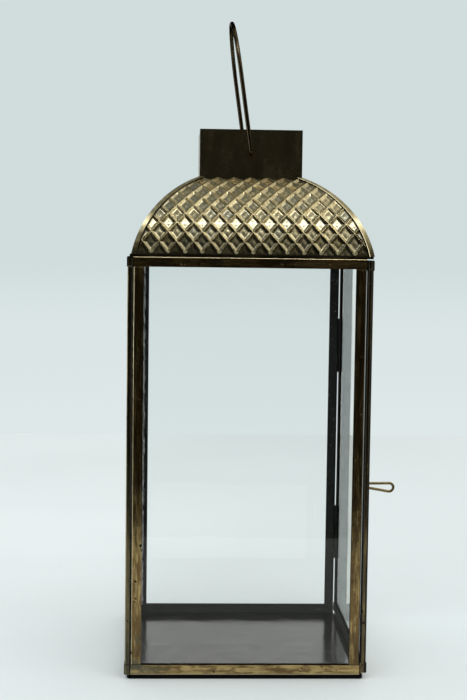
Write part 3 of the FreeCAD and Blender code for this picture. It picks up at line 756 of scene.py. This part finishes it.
FLOOR_FRONT = -0.58
FLOOR_BACK = 1.25
FLOOR_SIDE = 1.6
FLOOR_DIM = (0.765, 0.825, 0.83)
FLOOR_PALE = (0.80, 0.86, 0.865)
FLOOR_FAR_SHADE = (0.71, 0.77, 0.775)
FLOOR_RIGHT_SHADE = (0.71, 0.77, 0.785)


def pale_floor():
    """The plain pale table top, whose front edge is a little way before the lantern."""
    g = Graph("pale_floor")
    cloud = g.noise((420, 420, 420), detail=3, roughness=0.5, seed=2)
    grain = g.noise((1.2, 1.2, 1.2), detail=2, roughness=0.5, seed=5)
    colour = g.mix(g.ramp(cloud, 0.3, 0.7), FLOOR_DIM, FLOOR_PALE)
    # Painted shade: the table top is painted darker towards the back and towards the right.
    colour = g.mix(g.ramp(g.axis("Y"), 0.2, 1.2, 0, 0.25), colour, FLOOR_FAR_SHADE)
    colour = g.mix(g.ramp(g.axis("X"), -0.2, 0.4, 0, 0.5), colour, FLOOR_RIGHT_SHADE)
    return g.finish(
        g.principled(
            Base_Color=colour, Roughness=g.ramp(cloud, 0.3, 0.7, 0.55, 0.62),
            Specular_IOR_Level=0.25, Normal=g.bump(grain, 0.02 * MM),
        )
    )


floor_mesh = bpy.data.meshes.new("table_top")
floor_mesh.from_pydata(
    [
        (-FLOOR_SIDE, FLOOR_FRONT, 0), (FLOOR_SIDE, FLOOR_FRONT, 0),
        (FLOOR_SIDE, FLOOR_BACK, 0), (-FLOOR_SIDE, FLOOR_BACK, 0),
    ],
    [], [(0, 1, 2, 3)],
)
floor = bpy.data.objects.new("table_top", floor_mesh)
bpy.context.scene.collection.objects.link(floor)
floor.data.materials.append(pale_floor())

# Places along each gradient, and the colours there. By height, from straight down (0) to straight up (1):
SURROUND = (
    (0.0, (0.72, 0.79, 0.80)), (0.425, (0.735, 0.81, 0.82)), (0.468, (0.705, 0.78, 0.785)),
    (0.50, (0.632, 0.718, 0.718)), (0.60, (0.638, 0.723, 0.723)), (0.70, (0.98, 1.0, 1.0)),
    (1.0, (1.0, 1.0, 1.0)),
)
# In mirrors, from below and before the lantern (0) to above, behind and to its upper right (1):
BEHIND = (
    (0.0, (0.040, 0.038, 0.031)), (0.225, (0.044, 0.042, 0.035)), (0.33, (0.07, 0.067, 0.055)),
    (0.45, (0.075, 0.071, 0.058)), (0.50, (0.10, 0.096, 0.08)), (0.64, (0.52, 0.51, 0.47)),
    (0.74, (1.0, 1.0, 0.97)), (1.0, (1.0, 1.0, 1.0)),
)
# In mirrors, from far left (0) to far right (1), near the level and then high up:
ACROSS_LOW = (
    (0.0, (3.2, 3.1, 2.9)), (0.04, (2.4, 2.4, 2.2)), (0.12, (0.4, 0.4, 0.38)), (0.22, (0.20, 0.21, 0.20)),
    (0.36, (0.33, 0.35, 0.34)), (0.42, (0.82, 0.88, 0.87)), (0.46, (0.78, 0.83, 0.82)),
    (0.50, (0.57, 0.58, 0.56)), (0.57, (0.60, 0.62, 0.60)),
    (0.75, (1.3, 1.25, 1.1)), (1.0, (0.9, 0.9, 0.82)),
)
ACROSS_HIGH = (
    (0.0, (0.50, 0.50, 0.48)), (0.25, (0.27, 0.28, 0.26)), (0.47, (0.28, 0.29, 0.265)),
    (0.53, (0.36, 0.36, 0.33)), (0.60, (1.15, 1.10, 0.93)), (1.0, (1.05, 1.02, 0.92)),
)


def make_world():
    """A pale surround. In mirrors, what lies before the lantern is a dark room under a light ceiling."""
    world = bpy.data.worlds.new("studio")
    bpy.context.scene.world = world
    world.use_nodes = True
    world.cycles.sampling_method = "NONE"
    tree = world.node_tree
    tree.nodes.clear()

    def node(kind, **settings):
        made = tree.nodes.new(kind)
        for name, setting in settings.items():
            setattr(made, name, setting)
        return made

    def calculate(operation, *sources):
        made = node("ShaderNodeMath", operation=operation)
        for socket, source in zip(made.inputs, sources):
            if isinstance(source, bpy.types.NodeSocket):
                tree.links.new(source, socket)
            else:
                socket.default_value = source
        return made.outputs[0]

    def gradient(source, stops):
        made = node("ShaderNodeValToRGB")
        ramp = made.color_ramp
        ramp.interpolation = "EASE"
        while len(ramp.elements) < len(stops):
            ramp.elements.new(0.5)
        for element, (place, colour) in zip(ramp.elements, stops):
            element.position = place
            element.color = (*colour, 1)
        tree.links.new(source, made.inputs[0])
        return made.outputs[0]

    direction = node("ShaderNodeSeparateXYZ")
    tree.links.new(node("ShaderNodeTexCoord").outputs["Generated"], direction.inputs[0])
    x, y, z = direction.outputs
    height = calculate("MULTIPLY_ADD", z, 0.5, 0.5)
    surround = gradient(height, SURROUND)
    upward = calculate("MAXIMUM", z, 0.0)
    right_above = calculate("MULTIPLY", calculate("MAXIMUM", x, 0.0), upward)
    lit = calculate("ADD", calculate("MULTIPLY", y, 0.6), z)
    lit = calculate("ADD", lit, calculate("MULTIPLY", right_above, 0.8))
    lit = calculate("MULTIPLY_ADD", lit, 0.5, 0.5)
    behind = gradient(lit, BEHIND)
    sideways = calculate("MULTIPLY_ADD", x, 0.5, 0.5)
    across_low = gradient(sideways, ACROSS_LOW)
    across_high = gradient(sideways, ACROSS_HIGH)
    raised = gradient(upward, ((0.25, (0, 0, 0)), (0.5, (1, 1, 1))))
    across = node("ShaderNodeMix", data_type="RGBA")
    tree.links.new(raised, across.inputs[0])
    tree.links.new(across_low, across.inputs[6])
    tree.links.new(across_high, across.inputs[7])
    mirrored = node("ShaderNodeMix", data_type="RGBA", blend_type="MULTIPLY")
    mirrored.inputs[0].default_value = 1.0
    tree.links.new(behind, mirrored.inputs[6])
    tree.links.new(across.outputs[2], mirrored.inputs[7])
    bounced = calculate("GREATER_THAN", node("ShaderNodeLightPath").outputs["Glossy Depth"], 0.5)
    chosen = node("ShaderNodeMix", data_type="RGBA")
    tree.links.new(bounced, chosen.inputs[0])
    tree.links.new(surround, chosen.inputs[6])
    tree.links.new(mirrored.outputs[2], chosen.inputs[7])
    background = node("ShaderNodeBackground")
    tree.links.new(chosen.outputs[2], background.inputs["Color"])
    tree.links.new(background.outputs[0], node("ShaderNodeOutputWorld").inputs["Surface"])


make_world()

# Each lamp's place and the point it faces, its size in metres, its power in watts, and its colour.
SOFTBOXES = {
    "overhead_softbox": ((0.05, -0.79, 1.62), (0, 0, 0.35), (1.60, 0.13), 5.0, (1.0, 0.99, 0.96)),
    "left_softbox": ((-1.35, -0.35, 0.42), (0, 0, 0.25), (0.36, 0.75), 2.6, (0.97, 0.99, 1.0)),
}


def softbox(name, place, target, size, power, colour):
    """A soft rectangular lamp at a place, facing a target."""
    light = bpy.data.lights.new(name, "AREA")
    light.shape = "RECTANGLE"
    light.size, light.size_y = size
    light.energy = power
    light.color = colour
    lamp = bpy.data.objects.new(name, light)
    lamp.location = place
    lamp.rotation_mode = "QUATERNION"
    lamp.rotation_quaternion = (Vector(target) - Vector(place)).to_track_quat("-Z", "Y")
    bpy.context.scene.collection.objects.link(lamp)


for lamp_name, lamp_settings in SOFTBOXES.items():
    softbox(lamp_name, *lamp_settings)

CAMERA_PLACE = (-0.05225, -1.0733, 0.3206)
# Yaw to the right, pitch down and roll, in degrees.
CAMERA_ANGLES = (2.346, 4.258, 0.758)
# Sensor width and focal length, in millimetres.
SENSOR = 36
LENS = 69.2


def place_camera():
    """The camera stands a little left of the lantern's middle and looks slightly down."""
    yaw, pitch, roll = (math.radians(angle) for angle in CAMERA_ANGLES)
    forward = Vector((math.sin(yaw) * math.cos(pitch), math.cos(yaw) * math.cos(pitch), -math.sin(pitch)))
    level = Vector((math.cos(yaw), -math.sin(yaw), 0))
    upright = level.cross(forward)
    right = level * math.cos(roll) + upright * math.sin(roll)
    up = upright * math.cos(roll) - level * math.sin(roll)
    data = bpy.data.cameras.new("camera")
    data.sensor_width = SENSOR
    data.lens = LENS
    camera = bpy.data.objects.new("camera", data)
    columns = Matrix((right, up, -forward)).transposed().to_4x4()
    camera.matrix_world = Matrix.Translation(CAMERA_PLACE) @ columns
    bpy.context.scene.collection.objects.link(camera)
    bpy.context.scene.camera = camera


place_camera()
bpy.context.scene.view_settings.view_transform = "Standard"
